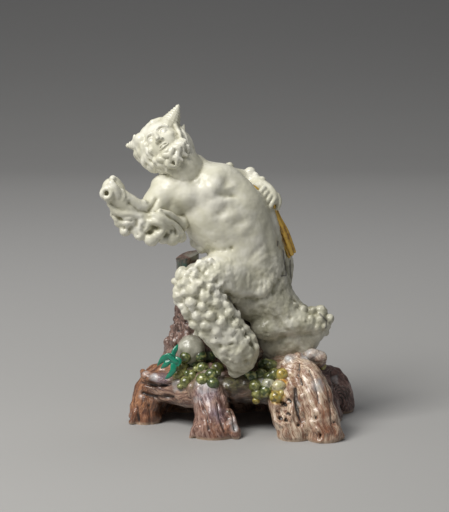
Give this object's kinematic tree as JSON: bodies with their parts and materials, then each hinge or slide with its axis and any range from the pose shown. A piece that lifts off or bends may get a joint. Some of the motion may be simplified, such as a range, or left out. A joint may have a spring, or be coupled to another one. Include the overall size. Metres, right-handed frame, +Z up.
{
  "type": "porcelain faun statue",
  "caption": "Glazed white faun figure with horns and fleecy legs, kneeling on a painted rootwork base with open arches underneath.",
  "frame": {"origin": "centre of the footprint, on the ground under the roots", "axes": "+Z up; the figure's chest and the front of the base face -Y; +X is to the viewer's right"},
  "size_m": [0.1157, 0.0709, 0.1457],
  "materials": {
    "white_glaze": "glossy glaze"
  },
  "bodies": {
    "root": {"faun_statue": "white_glaze"}
  },
  "joints": []
}
